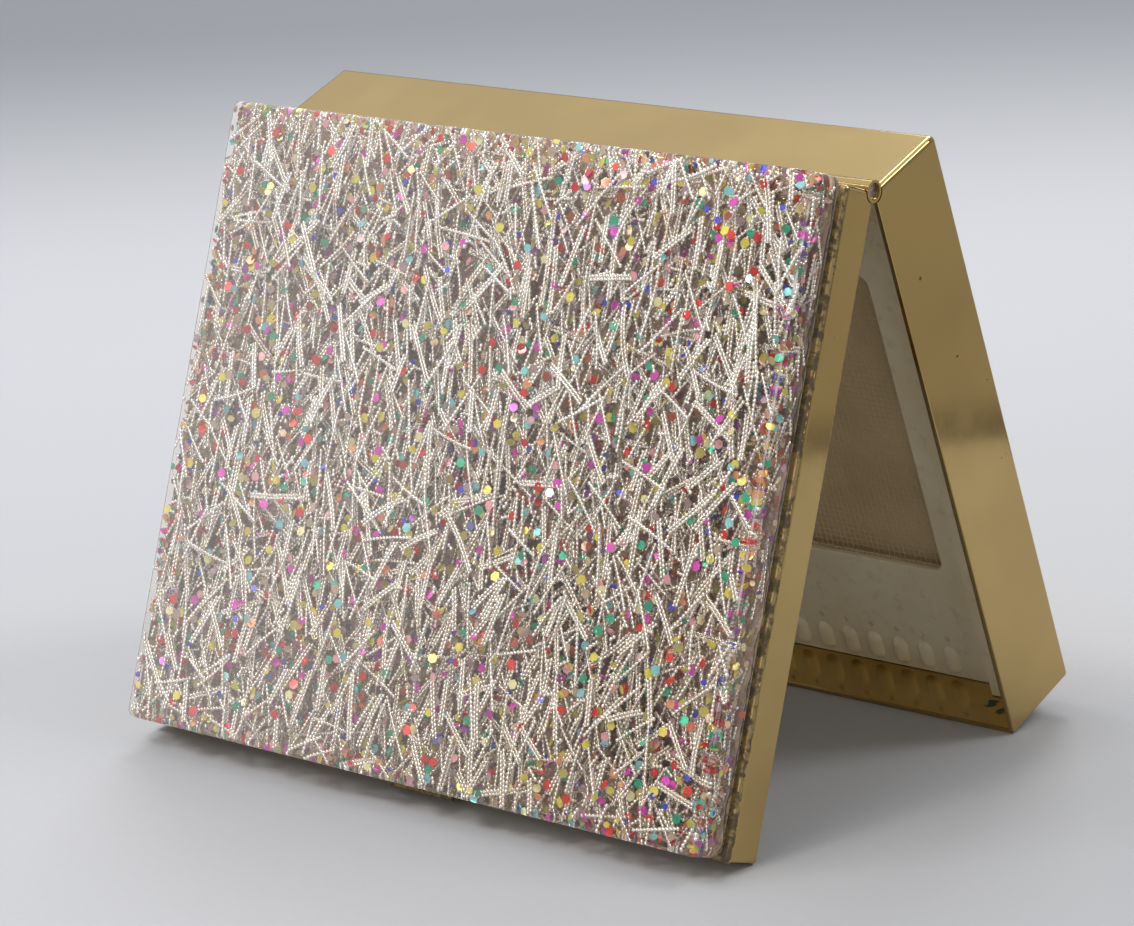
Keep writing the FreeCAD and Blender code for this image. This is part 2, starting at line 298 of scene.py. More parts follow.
def slab_edge_scuff_and_painted_highlight(tree, where):
    """1 along the slab's upright and top front edges and its back rim, scuffed white: partly real
    scuffing and partly a painted highlight line along these edges.
    """
    middle = (SLAB_LOW[0] + SLAB_HIGH[0]) / 2
    at = add(tree, "SeparateXYZ", {0: where}).outputs
    along = maths(tree, "ABSOLUTE", maths(tree, "SUBTRACT", at[0], middle))
    side = maths(tree, "MAXIMUM", maths(tree, "SUBTRACT", along, SLAB_HIGH[0] - middle),
                 maths(tree, "SUBTRACT", SLAB_LOW[1] - 0.04, at[1]))
    depth = maths(tree, "MULTIPLY", at[2], -1.0)
    front = maths(tree, "ADD", side, maths(tree, "SUBTRACT", depth, SLAB_HIGH[2]))
    front = remap(tree, front, EDGE_ROUND * -0.66, EDGE_ROUND * -0.60)
    back = remap(tree, depth, SLAB_LOW[2] + 0.16, SLAB_LOW[2] + 0.03)
    patchy = remap(tree, noise(tree, where, 0.5, 6.0, 0.7), 0.38, 0.58, 0.1, 1.0)
    faded = remap(tree, at[1], SLAB_LOW[1] + 25.0, SLAB_HIGH[1], 1.0, 0.25)
    patchy = maths(tree, "MULTIPLY", patchy, faded)
    worn = maths(tree, "MAXIMUM", front, maths(tree, "MULTIPLY", back, 0.6))
    return maths(tree, "MULTIPLY", worn, patchy)


HAZE_AND_PAINTED_SHEEN = (0.18, 0.018)      # milkiness of the aged acrylic plus a painted sheen, from its left side to its right


def clear_acrylic(name, body):
    """Clear acrylic: it bends what is seen through it, and lets the lamps' light straight in."""
    material, tree = new_material(name)
    where = closed_coords(tree, body)
    waves = noise(tree, where, 0.12, 2.0)
    scratch = noise(tree, stretched(tree, where, (3.2, 0.25, 0.5)), 1.0, 4.0, 0.7)
    height = maths(tree, "ADD", maths(tree, "MULTIPLY", waves, 5.0), scratch)
    normal = bump(tree, height, 0.25, 0.01)
    tint = (0.985, 0.97, 0.945, 1.0)
    glass = add(tree, "BsdfGlass", {"Color": tint, "Roughness": 0.0, "IOR": 1.49,
                                    "Normal": normal})
    scuff_haze_and_painted_light = add(tree, "BsdfDiffuse", {"Color": (0.88, 0.84, 0.84, 1.0)})
    # white along the edges: scuffing together with a painted highlight line
    worn = maths(tree, "MULTIPLY", slab_edge_scuff_and_painted_highlight(tree, where), 0.55)
    side = add(tree, "SeparateXYZ", {0: where}).outputs[0]
    # milky haze with a painted sheen: much whiter on the slab's left side than on its right
    haze_and_painted_sheen = remap(tree, side, SLAB_LOW[0], SLAB_HIGH[0], *HAZE_AND_PAINTED_SHEEN)
    worn = maths(tree, "MAXIMUM", worn, haze_and_painted_sheen)
    seen = add(tree, "MixShader", {0: worn, 1: glass.outputs[0], 2: scuff_haze_and_painted_light.outputs[0]})
    through = add(tree, "BsdfTransparent", {"Color": tint})
    path = add(tree, "LightPath").outputs
    lit = maths(tree, "MAXIMUM", path["Is Shadow Ray"], path["Is Diffuse Ray"])
    lit = maths(tree, "MAXIMUM", lit, path["Is Glossy Ray"])
    mixed = add(tree, "MixShader", {0: lit, 1: seen.outputs[0], 2: through.outputs[0]})
    add(tree, "OutputMaterial", {"Surface": mixed.outputs[0]})
    return material


def bullion(name):
    """Bright silver bead wire, duller in patches, with painted shade that darkens it towards the
    slab's lower right.
    """
    material, tree = new_material(name)
    where = closed_coords(tree, "lid")
    patches = remap(tree, noise(tree, where, 0.35, 3.0), 0.40, 0.70)
    # painted shade: the wire grows darker towards the slab's lower right
    corner = add(tree, "VectorMath", {0: where, 1: (0.5, 0.9, 0.0)}, operation="DOT_PRODUCT")
    painted_shade_lower_right = remap(tree, corner.outputs["Value"], 5.0, 70.0, 0.0, 0.8)
    tone = maths(tree, "MAXIMUM", patches, painted_shade_lower_right)
    surface(tree, {
        "Base Color": mix(tree, tone, (1.0, 0.985, 0.945), (0.82, 0.74, 0.65)),
        "Metallic": 0.8,
        "Roughness": remap(tree, noise(tree, where, 1.5, 2.0), 0.3, 0.7, 0.10, 0.22),
    })
    return material


def glitter_dust(name):
    """Crushed foil between the bits: gold, white, rose and brown grains."""
    material, tree = new_material(name)
    where = closed_coords(tree, "lid")
    kind = noise(tree, where, 3.1, 1.0)
    colour = mix(tree, remap(tree, kind, 0.38, 0.42), (0.48, 0.16, 0.09), (0.86, 0.66, 0.30))
    colour = mix(tree, remap(tree, kind, 0.47, 0.50), colour, (0.96, 0.88, 0.82))
    colour = mix(tree, remap(tree, kind, 0.56, 0.60), colour, (0.66, 0.33, 0.38))
    surface(tree, {"Base Color": colour, "Metallic": 0.7, "Roughness": 0.20})
    return material


def foil(name, colour):
    """Coloured metallic foil of the confetti."""
    material, tree = new_material(name)
    where = closed_coords(tree, "lid")
    tone = remap(tree, noise(tree, where, 0.9, 2.0), 0.3, 0.7)
    deep = tuple(c * 0.7 for c in colour)
    surface(tree, {
        "Base Color": mix(tree, tone, deep, colour),
        "Metallic": 0.4,
        "Roughness": remap(tree, tone, 0.0, 1.0, 0.36, 0.22),
        "Specular IOR Level": 0.7,
    })
    return material


def aged_glue(name, face):
    """Old adhesive: dark and crusted at its edge, with painted shade in the crevice by the slab,
    mauve and rust under the slab.
    """
    material, tree = new_material(name)
    where = closed_coords(tree, "lid")
    at = add(tree, "SeparateXYZ", {0: where}).outputs
    mottle = remap(tree, noise(tree, where, 0.9, 6.0, 0.7), 0.38, 0.62)
    under = mix(tree, mottle, (0.44, 0.24, 0.14), (0.74, 0.62, 0.50))
    mauve = remap(tree, noise(tree, where, 1.3, 4.0), 0.50, 0.60)
    under = mix(tree, mauve, under, (0.56, 0.34, 0.36))
    olive = remap(tree, noise(tree, where, 1.7, 3.0), 0.56, 0.64)
    under = mix(tree, olive, under, (0.42, 0.36, 0.10))
    crust = remap(tree, noise(tree, where, 1.0, 6.0, 0.75), 0.48, 0.58)
    gold = mix(tree, remap(tree, at[1], 10.0, 50.0), (0.20, 0.15, 0.07), (0.42, 0.31, 0.13))
    edge = mix(tree, crust, gold, (0.065, 0.046, 0.022))
    green = remap(tree, noise(tree, where, 1.1, 4.0), 0.60, 0.68)
    edge = mix(tree, green, edge, (0.07, 0.085, 0.05))
    depth = maths(tree, "MULTIPLY", at[2], -1.0)
    # painted shade: near-black in the crevice where the glue's edge meets the slab
    painted_crevice_shade = remap(tree, depth, face - 0.30, face - 0.16)
    edge = mix(tree, painted_crevice_shade, edge, (0.020, 0.014, 0.009))
    surface(tree, {
        "Base Color": mix(tree, remap(tree, depth, face - 0.06, face - 0.01), edge, under),
        "Roughness": remap(tree, mottle, 0.0, 1.0, 0.4, 0.8),
        "Normal": bump(tree, noise(tree, where, 2.5, 6.0), 0.6, 0.15),
    })
    return material


def cream_plastic(name):
    """Moulded cream plastic with powder in its hollows and soft handling wear."""
    material, tree = new_material(name)
    where = closed_coords(tree, "base")
    cloud = remap(tree, noise(tree, where, 0.08, 4.0), 0.35, 0.65)
    colour = mix(tree, cloud, (0.86, 0.73, 0.47), (0.94, 0.83, 0.59))
    dust = remap(tree, noise(tree, where, 0.7, 6.0, 0.65), 0.52, 0.72)
    colour = mix(tree, maths(tree, "MULTIPLY", dust, 0.5), colour, (0.66, 0.53, 0.40))
    surface(tree, {
        "Base Color": colour,
        "Roughness": remap(tree, dust, 0.0, 1.0, 0.34, 0.62),
        "Subsurface Weight": 0.12,
        "Subsurface Radius": (1.0, 0.6, 0.3),
        "Subsurface Scale": 0.0006,
        "Normal": bump(tree, noise(tree, where, 1.4, 5.0), 0.12, 0.05),
    })
    return material


def net_thread(name):
    """Pale thread of the sifter's net, dusted with powder."""
    material, tree = new_material(name)
    where = closed_coords(tree, "base")
    dust = remap(tree, noise(tree, where, 0.12, 5.0, 0.6), 0.4, 0.65)
    surface(tree, {
        "Base Color": mix(tree, dust, (0.70, 0.54, 0.31), (0.62, 0.47, 0.26)),
        "Roughness": remap(tree, dust, 0.0, 1.0, 0.6, 0.85),
        "Normal": bump(tree, noise(tree, where, 9.0, 3.0), 0.3, 0.02),
    })
    return material


def face_powder(name):
    """Pressed beige face powder with grains and rubbed patches."""
    material, tree = new_material(name)
    where = closed_coords(tree, "base")
    rubbed = remap(tree, noise(tree, where, 0.1, 4.0), 0.4, 0.65)
    colour = mix(tree, rubbed, (0.74, 0.57, 0.32), (0.84, 0.66, 0.38))
    grain = noise(tree, where, 7.0, 4.0, 0.7)
    surface(tree, {
        "Base Color": mix(tree, remap(tree, grain, 0.55, 0.75), colour, (0.64, 0.50, 0.38)),
        "Roughness": 0.92,
        "Normal": bump(tree, grain, 0.5, 0.08),
    })
    return material


def mirror(name):
    """Silvered glass with finger smears and a few pinholes in the silvering."""
    material, tree = new_material(name)
    where = closed_coords(tree, "lid")
    smear = remap(tree, noise(tree, stretched(tree, where, (0.05, 0.16, 0.1)), 1.0, 5.0), 0.5, 0.75)
    holes = remap(tree, noise(tree, where, 1.1, 1.0), 0.78, 0.8)
    surface(tree, {
        "Base Color": mix(tree, holes, (0.84, 0.87, 0.86), (0.12, 0.10, 0.08)),
        "Metallic": 1.0,
        "Roughness": maths(tree, "MULTIPLY", smear, 0.12),
        "Coat Weight": 0.6,
        "Coat Roughness": 0.02,
    })
    return material


def backing_card(name):
    """Grey pulp card behind the mirror."""
    material, tree = new_material(name)
    where = closed_coords(tree, "lid")
    fibre = noise(tree, stretched(tree, where, (1.0, 5.0, 1.0)), 1.0, 6.0, 0.7)
    surface(tree, {
        "Base Color": mix(tree, fibre, (0.28, 0.25, 0.20), (0.42, 0.38, 0.31)),
        "Roughness": 0.9,
        "Normal": bump(tree, fibre, 0.4, 0.05),
    })
    return material


def studio_paper(name):
    """Pale paper with painted light and shade: a painted shadow in its near right-hand corner, a
    painted bright band a little way off, and painted shade that grades it darker towards its far end.
    """
    material, tree = new_material(name)
    where = add(tree, "TexCoord").outputs["Object"]
    away = add(tree, "VectorMath", {0: where, 1: (*AHEAD, 0.0)}, operation="DOT_PRODUCT")
    away = away.outputs["Value"]
    tooth = noise(tree, where, 900.0, 3.0)
    near_colour = mix(tree, tooth, (0.452, 0.458, 0.484), (0.478, 0.484, 0.511))
    aside = add(tree, "VectorMath", {0: where, 1: (*ASIDE, 0.0)}, operation="DOT_PRODUCT")
    # painted shadow in the paper's near right-hand corner
    corner = maths(tree, "MULTIPLY", remap(tree, aside.outputs["Value"], 0.0, 0.07),
                   remap(tree, away, 0.02, -0.04))
    near_colour = mix(tree, corner, near_colour, (0.340, 0.348, 0.367))
    # painted light: a brighter band a little way off
    middle = mix(tree, remap(tree, away, 0.0, 0.18), near_colour, (0.508, 0.517, 0.551))
    # painted shade: darker towards the far end
    far = remap(tree, away, 0.20, 0.44)
    surface(tree, {
        "Base Color": mix(tree, far, middle, (0.236, 0.247, 0.271)),
        "Roughness": 0.62,
        "Specular IOR Level": 0.35,
        "Normal": bump(tree, tooth, 0.05, 0.05),
    })
    return material


def table_top(name, width):
    """Darker table beside the paper, with the paper's shadow painted along its near edge."""
    material, tree = new_material(name)
    where = add(tree, "TexCoord").outputs["Object"]
    from_edge = add(tree, "SeparateXYZ", {0: where}).outputs[0]
    from_edge = maths(tree, "ADD", from_edge, width / 2)
    # painted shadow of the paper's edge, fading out over about 15 mm
    lit = remap(tree, from_edge, 0.005, 0.020)
    grain = noise(tree, where, 40.0, 3.0)
    tone = mix(tree, grain, (0.285, 0.276, 0.262), (0.328, 0.318, 0.304))
    surface(tree, {
        "Base Color": mix(tree, lit, (0.14, 0.135, 0.13), tone),
        "Roughness": 0.7,
    })
    return material


# ---------------------------------------------------------------- confetti in the slab

SEED = 4127
SKIN = 0.15                # clear acrylic left over the inclusions' middles
COVER = 0.03               # and over their outermost points

SINGLE_STRINGS = 3600
SHORT_SHARE = 0.5          # of the single strings, only a few beads long
DOUBLE_STRINGS = 850
STRING_MARGIN = 0.12       # beyond SKIN, from the slab's sides to their middles
STRING_CROWD = 0.8         # as depths takes it
STRINGS_IN_A_PIECE = 450
BEAD_RADIUS = (0.23, 0.265)
BEAD_PITCH = 0.43
BEAD_PROFILE = (0.30, 0.84, 1.0, 0.84)
STRING_LENGTH = (4.2, 6.8)
SHORT_LENGTH = (0.4, 1.6)
STRING_SIDES = 5
STEEP_SHARE = 0.78         # of the strings, more or less along s; the rest lie any way
LEAN_SPREAD = 0.46         # radians, how much the steep ones differ
RISE_SPREAD = 0.07         # radians, how much any string tilts in depth
BOW_SPREAD = 0.01          # how much it bends sideways
PAIR_GAP = 0.17            # from a pair's middle line to each of its strings
PAIR_SLIM = 0.9            # a paired string's radius beside a single one's
DUST_GRAINS = 22000
GRAIN_REACH = (0.035, 0.11)
GRAIN_UNEVEN = (0.7, 1.3)
GRAIN_DEPTH_MARGIN = 0.2
GRAIN_CROWD = 0.75
EDGE_SHARE = 0.17          # of the flakes, lying along the slab's sides
UPRIGHT_SHARE = 0.55       # of those, along the upright sides
EDGE_INSET = 0.15          # beyond SKIN, to where their band starts
EDGE_BAND = 0.8
FLAKE_HALF_THICKNESS = 0.02
FLAKE_SIZES = (0.9, 1.1)   # times the colour's radius
FLAKE_DEPTH_MARGIN = 0.35
FLAKE_SIDE_MARGIN = 0.15   # beyond side_margin
FLAKE_SCATTER_MARGIN = 0.3  # beyond SKIN
EDGE_FLAKE_SIZE = 0.8
FLAKE_TILT = 0.5           # radians
EDGE_FLAKE_TILT = 1.1
FLAKE_COLOURS = {          # colour, count, radius, and crowd as depths takes it
    "red": ((0.84, 0.03, 0.02), 400, 0.50, 0.4),
    "magenta": ((0.84, 0.07, 0.62), 270, 0.49, 0.4),
    "yellow": ((0.97, 0.86, 0.12), 390, 0.50, 0.4),
    "emerald": ((0.02, 0.47, 0.27), 290, 0.50, 0.4),
    "teal": ((0.28, 0.74, 0.80), 240, 0.49, 0.4),
    "blue": ((0.06, 0.08, 0.80), 200, 0.34, 0.4),
    "pink": ((0.98, 0.46, 0.52), 160, 0.48, 0.4),
    "salmon": ((0.98, 0.42, 0.19), 190, 0.49, 0.4),
    "pale_yellow": ((0.99, 0.91, 0.48), 170, 0.50, 0.4),
    "purple": ((0.34, 0.09, 0.40), 200, 0.48, 1.0),
    "navy": ((0.10, 0.13, 0.38), 200, 0.40, 1.0),
    "rust": ((0.50, 0.11, 0.05), 480, 0.52, 1.3),
    "olive": ((0.52, 0.45, 0.10), 520, 0.54, 1.3),
    "mauve": ((0.50, 0.35, 0.38), 620, 0.48, 1.6),
    "tan": ((0.66, 0.50, 0.34), 760, 0.48, 1.6),
}


def side_margin(m):
    """How far inclusions at depth m keep from the slab's sides, under its rounded edges."""
    into = np.clip(m + SKIN - (SLAB_HIGH[2] - EDGE_ROUND), 0.0, EDGE_ROUND)
    return SKIN + EDGE_ROUND - np.sqrt(EDGE_ROUND ** 2 - into ** 2)


def scattered(rng, count, margin):
    """Places spread evenly over the slab: one in each cell of a grid, at a random spot in it."""
    wide = SLAB_HIGH[0] - SLAB_LOW[0] - 2 * margin
    high = SLAB_HIGH[1] - SLAB_LOW[1] - 2 * margin
    across = max(1, round(math.sqrt(count * wide / high)))
    down = math.ceil(count / across)
    cells = rng.permutation(across * down)[:count]
    x = (cells % across + rng.random(count)) / across * wide + SLAB_LOW[0] + margin
    s = (cells // across + rng.random(count)) / down * high + SLAB_LOW[1] + margin
    return x, s


def depths(rng, count, margin, crowd):
    """Depths in the slab. crowd under 1 puts more of them near the show face."""
    deep, shallow = SLAB_LOW[2] + margin, SLAB_HIGH[2] - margin
    return deep + (shallow - deep) * rng.random(count) ** crowd


def trimmed(centre, run, half, margin):
    """How far a string may reach each way along run before it meets the slab's sides."""
    low, high = -half, half
    for k in (0, 1):
        if abs(run[k]) < 1e-6:
            continue
        a = (SLAB_LOW[k] + margin - centre[k]) / run[k]
        b = (SLAB_HIGH[k] - margin - centre[k]) / run[k]
        low, high = max(low, min(a, b)), min(high, max(a, b))
    return low, high


def kept_inside(points):
    """Draws in whatever would reach out through the slab's faces or its rounded edges."""
    back = -SLAB_LOW[2] - COVER
    low = (SLAB_LOW[0] + EDGE_ROUND, SLAB_LOW[1] + EDGE_ROUND, EDGE_ROUND - SLAB_HIGH[2])
    high = (SLAB_HIGH[0] - EDGE_ROUND, SLAB_HIGH[1] - EDGE_ROUND, back)
    points = np.minimum(points, (np.inf, np.inf, back))
    core = np.clip(points, low, high)
    reach = points - core
    limit = EDGE_ROUND - COVER
    far = np.linalg.norm(reach, axis=1, keepdims=True)
    return core + reach * (limit / np.maximum(far, limit))


def bead_string(path, radius, start):
    """A row of touching beads along a path that has one point for each ring of the profile."""
    profile = np.resize(BEAD_PROFILE, len(path)) * radius
    return tube(path, profile, STRING_SIDES, start)


def wire_bit(rng, centre, double, start):
    """One bit of bead wire, nearly straight, of one string or two, cut off at the slab's side."""
    steep = rng.random() < STEEP_SHARE
    lean = rng.normal(0.0, LEAN_SPREAD) if steep else rng.uniform(-math.pi / 2, math.pi / 2)
    run = np.array([math.sin(lean), math.cos(lean), math.tan(rng.normal(0.0, RISE_SPREAD))])
    margin = side_margin(centre[2]) + (PAIR_GAP if double else 0.0)
    short = not double and rng.random() < SHORT_SHARE
    length = rng.uniform(*(SHORT_LENGTH if short else STRING_LENGTH))
    low, high = trimmed(centre, run, length / 2, margin)
    beads = max(1, round((high - low) / BEAD_PITCH))
    along = low + np.arange(beads * len(BEAD_PROFILE) + 1) * (BEAD_PITCH / len(BEAD_PROFILE))
    across = np.array([run[1], -run[0], 0.0])
    bow = rng.normal(0.0, BOW_SPREAD) * along ** 2
    path = centre + along[:, None] * run + bow[:, None] * across
    edge = margin - 0.02
    path[:, 0] = np.clip(path[:, 0], SLAB_LOW[0] + edge, SLAB_HIGH[0] - edge)
    path[:, 1] = np.clip(path[:, 1], SLAB_LOW[1] + edge, SLAB_HIGH[1] - edge)
    path[:, 2] = -np.clip(path[:, 2], SLAB_LOW[2] + SKIN, SLAB_HIGH[2] - SKIN)
    radius = rng.uniform(*BEAD_RADIUS)
    if not double:
        return bead_string(path, radius, start)
    one, faces = bead_string(path + across * PAIR_GAP, radius * PAIR_SLIM, start)
    half_step = run * [1, 1, -1] * BEAD_PITCH / 2
    beside = path[:-2] - across * PAIR_GAP + half_step
    other, more = bead_string(beside, radius * PAIR_SLIM, start + len(one))
    return np.concatenate([one, other]), faces + more


def wire_bits(material):
    rng = np.random.default_rng(SEED)
    count = SINGLE_STRINGS + DOUBLE_STRINGS
    x, s = scattered(rng, count, SKIN + STRING_MARGIN)
    m = depths(rng, count, SKIN, STRING_CROWD)
    double = rng.permutation(count) < DOUBLE_STRINGS
    points, faces, start, strings, piece = [], [], 0, 0, 1
    for k in range(count):
        skin, sides = wire_bit(rng, np.array([x[k], s[k], m[k]]), double[k], start)
        points.append(skin)
        faces += sides
        start += len(skin)
        strings += 1 + int(double[k])
        if strings >= STRINGS_IN_A_PIECE or k == count - 1:
            add_piece(f"wire_bits_{piece}", "lid", kept_inside(np.concatenate(points)), faces,
                      material)
            points, faces, start, strings, piece = [], [], 0, 0, piece + 1


def hex_flake(rng, centre, radius, spread, start):
    """A thin six-sided flake, turned and tilted at random."""
    turn = np.arange(6) * math.pi / 3 + rng.uniform(0, math.pi / 3)
    flat = np.stack([np.cos(turn), np.sin(turn), np.zeros(6)], -1) * radius
    tilt = np.array(Matrix.Rotation(rng.normal(0.0, spread), 3, "X")
                    @ Matrix.Rotation(rng.normal(0.0, spread), 3, "Y"))
    thick = tilt @ np.array([0.0, 0.0, FLAKE_HALF_THICKNESS])
    flat = flat @ tilt.T + centre
    faces = [[start + k for k in range(6)][::-1], [start + 6 + k for k in range(6)]]
    faces += ring_quads(start, 2, 6).tolist()
    return np.concatenate([flat - thick, flat + thick]), faces


def drawn_to_sides(rng, x, s):
    """Moves a share of the places out to the slab's four sides."""
    count = len(x)
    inset = SKIN + EDGE_INSET + rng.random(count) * EDGE_BAND
    lower = rng.random(count) < 0.5
    kind = rng.random(count)
    upright = kind < EDGE_SHARE * UPRIGHT_SHARE
    level = (kind >= EDGE_SHARE * UPRIGHT_SHARE) & (kind < EDGE_SHARE)
    side_x = np.where(lower, SLAB_LOW[0] + inset, SLAB_HIGH[0] - inset)
    side_s = np.where(lower, SLAB_LOW[1] + inset, SLAB_HIGH[1] - inset)
    return np.where(upright, side_x, x), np.where(level, side_s, s), upright | level


def confetti_flakes():
    rng = np.random.default_rng(SEED + 1)
    for name, (colour, count, radius, crowd) in FLAKE_COLOURS.items():
        x, s = scattered(rng, count, SKIN + FLAKE_SCATTER_MARGIN)
        x, s, beside = drawn_to_sides(rng, x, s)
        m = depths(rng, count, FLAKE_DEPTH_MARGIN, crowd)
        margin = side_margin(m) + FLAKE_SIDE_MARGIN
        x = np.clip(x, SLAB_LOW[0] + margin, SLAB_HIGH[0] - margin)
        s = np.clip(s, SLAB_LOW[1] + margin, SLAB_HIGH[1] - margin)
        points, faces = [], []
        for k in range(count):
            size = radius * rng.uniform(*FLAKE_SIZES) * (EDGE_FLAKE_SIZE if beside[k] else 1.0)
            spread = EDGE_FLAKE_TILT if beside[k] else FLAKE_TILT
            skin, sides = hex_flake(rng, np.array([x[k], s[k], -m[k]]), size, spread, 12 * k)
            points.append(skin)
            faces += sides
        add_piece(f"confetti_{name}", "lid", kept_inside(np.concatenate(points)), faces,
                  foil(f"foil_{name}", colour), smooth=False)


def crushed_dust(material):
    """Tiny crushed grains of foil all through the slab, each an uneven octahedron."""
    rng = np.random.default_rng(SEED + 2)
    tips = np.array([(1, 0, 0), (0, 1, 0), (-1, 0, 0), (0, -1, 0), (0, 0, 1), (0, 0, -1)], float)
    sides = np.array([(0, 1, 4), (1, 2, 4), (2, 3, 4), (3, 0, 4),
                      (1, 0, 5), (2, 1, 5), (3, 2, 5), (0, 3, 5)])
    x, s = scattered(rng, DUST_GRAINS, SKIN)
    centre = np.stack([x, s, -depths(rng, DUST_GRAINS, GRAIN_DEPTH_MARGIN, GRAIN_CROWD)], -1)
    reach = rng.uniform(*GRAIN_REACH, (DUST_GRAINS, 1, 3))
    reach = reach * rng.uniform(*GRAIN_UNEVEN, (DUST_GRAINS, 6, 1))
    points = (centre[:, None] + tips * reach).reshape(-1, 3)
    faces = (sides[None] + np.arange(DUST_GRAINS)[:, None, None] * 6).reshape(-1, 3)
    add_piece("crushed_foil", "lid", kept_inside(points), faces.tolist(), material,
              smooth=False)


# ---------------------------------------------------------------- glue

GLUE_STEP = 0.3            # between points of its outline
GLUE_CORNER = 1.2
CORNER_POINTS = 7
GLUE_WAVES = 140
GLUE_RAGGED = 0.2          # how much the squeezed-out edge wanders, and its limits
GLUE_LIMITS = (-0.75, 0.42)
WAIST_WAVES = 90
WAIST_RAGGED = 0.1
WAIST = 0.12               # how far the edge draws in between its two faces
GLUE_INSIDE = -6.0         # the flat faces' rings lie this far in from the outline
GLUE_TOP_GAP = 0.2         # from the slab's hinge side to the outline
GLUE_TOP_LEAST = 0.02      # and to its bulges


def wander(rng, count, waves, size):
    """A closed ragged line: a sum of random waves that fits together at its ends."""
    turn = np.arange(count) * 2 * math.pi / count
    line = np.zeros(count)
    for k in range(1, waves):
        line += rng.normal(0.0, 1.0) / k ** 0.45 * np.sin(k * turn + rng.uniform(0, 2 * math.pi))
    return line / line.std() * size


def rounded_outline(low, high, corner, step):
    """Points and outward directions round a rectangle with rounded corners."""
    points, outward = [], []
    inner_low, inner_high = low + corner, high - corner
    centres = [(inner_high[0], inner_low[1]), (inner_high[0], inner_high[1]),
               (inner_low[0], inner_high[1]), (inner_low[0], inner_low[1])]
    for k, centre in enumerate(centres):
        for turn in np.linspace(-math.pi / 2, 0.0, CORNER_POINTS) + k * math.pi / 2:
            way = np.array([math.cos(turn), math.sin(turn)])
            points.append(np.array(centre) + corner * way)
            outward.append(way)
        ahead = np.array(centres[(k + 1) % 4])
        way = outward[-1]
        gap = np.linalg.norm(ahead - np.array(centre))
        for part in np.arange(step, gap - step / 2, step) / gap:
            points.append(np.array(centre) + corner * way + (ahead - np.array(centre)) * part)
            outward.append(way)
    return np.array(points), np.array(outward)


def glue_sheet(material):
    """The old adhesive between slab and lid, squeezed out unevenly round its edge."""
    rng = np.random.default_rng(SEED + 2)
    low, high = extent("glue_film", "lid")
    low[1] = SLAB_LOW[1] + GLUE_TOP_GAP
    outline, outward = rounded_outline(low[:2], high[:2], GLUE_CORNER, GLUE_STEP)
    count = len(outline)
    ragged = np.clip(wander(rng, count, GLUE_WAVES, GLUE_RAGGED), *GLUE_LIMITS)
    face, back = -low[2], -high[2]
    waist = wander(rng, count, WAIST_WAVES, WAIST_RAGGED)
    rings = [
        (GLUE_INSIDE, back),
        (ragged * 0.8, back),
        (ragged - WAIST + waist, (2 * back + face) / 3),
        (ragged - WAIST - waist, (back + 2 * face) / 3),
        (ragged, face),
        (GLUE_INSIDE, face),
    ]
    points = []
    for reach, m in rings:
        spread = outline + outward * np.broadcast_to(reach, (count,))[:, None]
        spread[:, 1] = np.maximum(spread[:, 1], SLAB_LOW[1] + GLUE_TOP_LEAST)
        points.append(np.column_stack([spread, np.full(count, -m)]))
    faces = ring_quads(0, len(rings), count).tolist()
    last = (len(rings) - 1) * count
    faces += [list(range(count))[::-1], list(range(last, last + count))]
    piece = add_piece("glue_sheet", "lid", np.concatenate(points), faces, material,
                      smooth=False)
    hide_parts("glue_film")


# ---------------------------------------------------------------- net and powder

NET_PITCH = 0.65
NET_CORNER = 3.7
NET_WAVE = 0.03            # how far a thread swings to pass over and under the others
NET_THREAD = 0.045         # a thread's radius
NET_SIDES = 4


def reach_in_outline(at, low, high, other_low, other_high, corner):
    """The span of a thread at this place inside a rounded rectangle."""
    into = max(low + corner - at, at - high + corner, 0.0)
    cut = corner - math.sqrt(max(corner ** 2 - min(into, corner) ** 2, 0.0))
    return other_low + cut, other_high - cut


def net_threads(low, high, middle, start):
    """All threads that run along s, spaced over x, woven over and under their neighbours."""
    points, faces = [], []
    count = int((high[0] - low[0]) / NET_PITCH)
    for k in range(count + 1):
        x = (low[0] + high[0]) / 2 + (k - count / 2) * NET_PITCH
        s0, s1 = reach_in_outline(x, low[0], high[0], low[1], high[1], NET_CORNER)
        steps = np.arange(math.ceil(s0 / NET_PITCH), math.floor(s1 / NET_PITCH) + 0.5, 0.5)
        n = middle + NET_WAVE * np.cos((steps + k) * math.pi)
        path = np.column_stack([np.full(len(steps), x), steps * NET_PITCH, n])
        skin, sides = tube(path, np.full(len(steps), NET_THREAD), NET_SIDES, start)
        points.append(skin)
        faces += sides
        start += len(skin)
    return points, faces, start


def sifter_net(material):
    low, high = extent("sifter_net", "base")
    middle = (low[2] + high[2]) / 2
    along, faces, start = net_threads(low, high, middle, 0)
    swap = [1, 0, 2]
    across, more, _ = net_threads(low[swap], high[swap], 0.0, start)
    across = [p[:, swap] * [1, 1, -1] + [0, 0, middle] for p in across]
    more = [face[::-1] for face in more]
    points = np.concatenate(along + across)
    piece = add_piece("sifter_net_weave", "base", points, faces + more, material)
    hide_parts("sifter_net")


POWDER_STEP = 0.9
POWDER_CORNER = 2.6
POWDER_SUNK = 0.1          # its face below the top of the room it has
POWDER_GRAIN = 0.012
CRUMBLED = 1.2             # width of the crumbled rim
CRUMBLE_DEPTH = (0.1, 0.55)


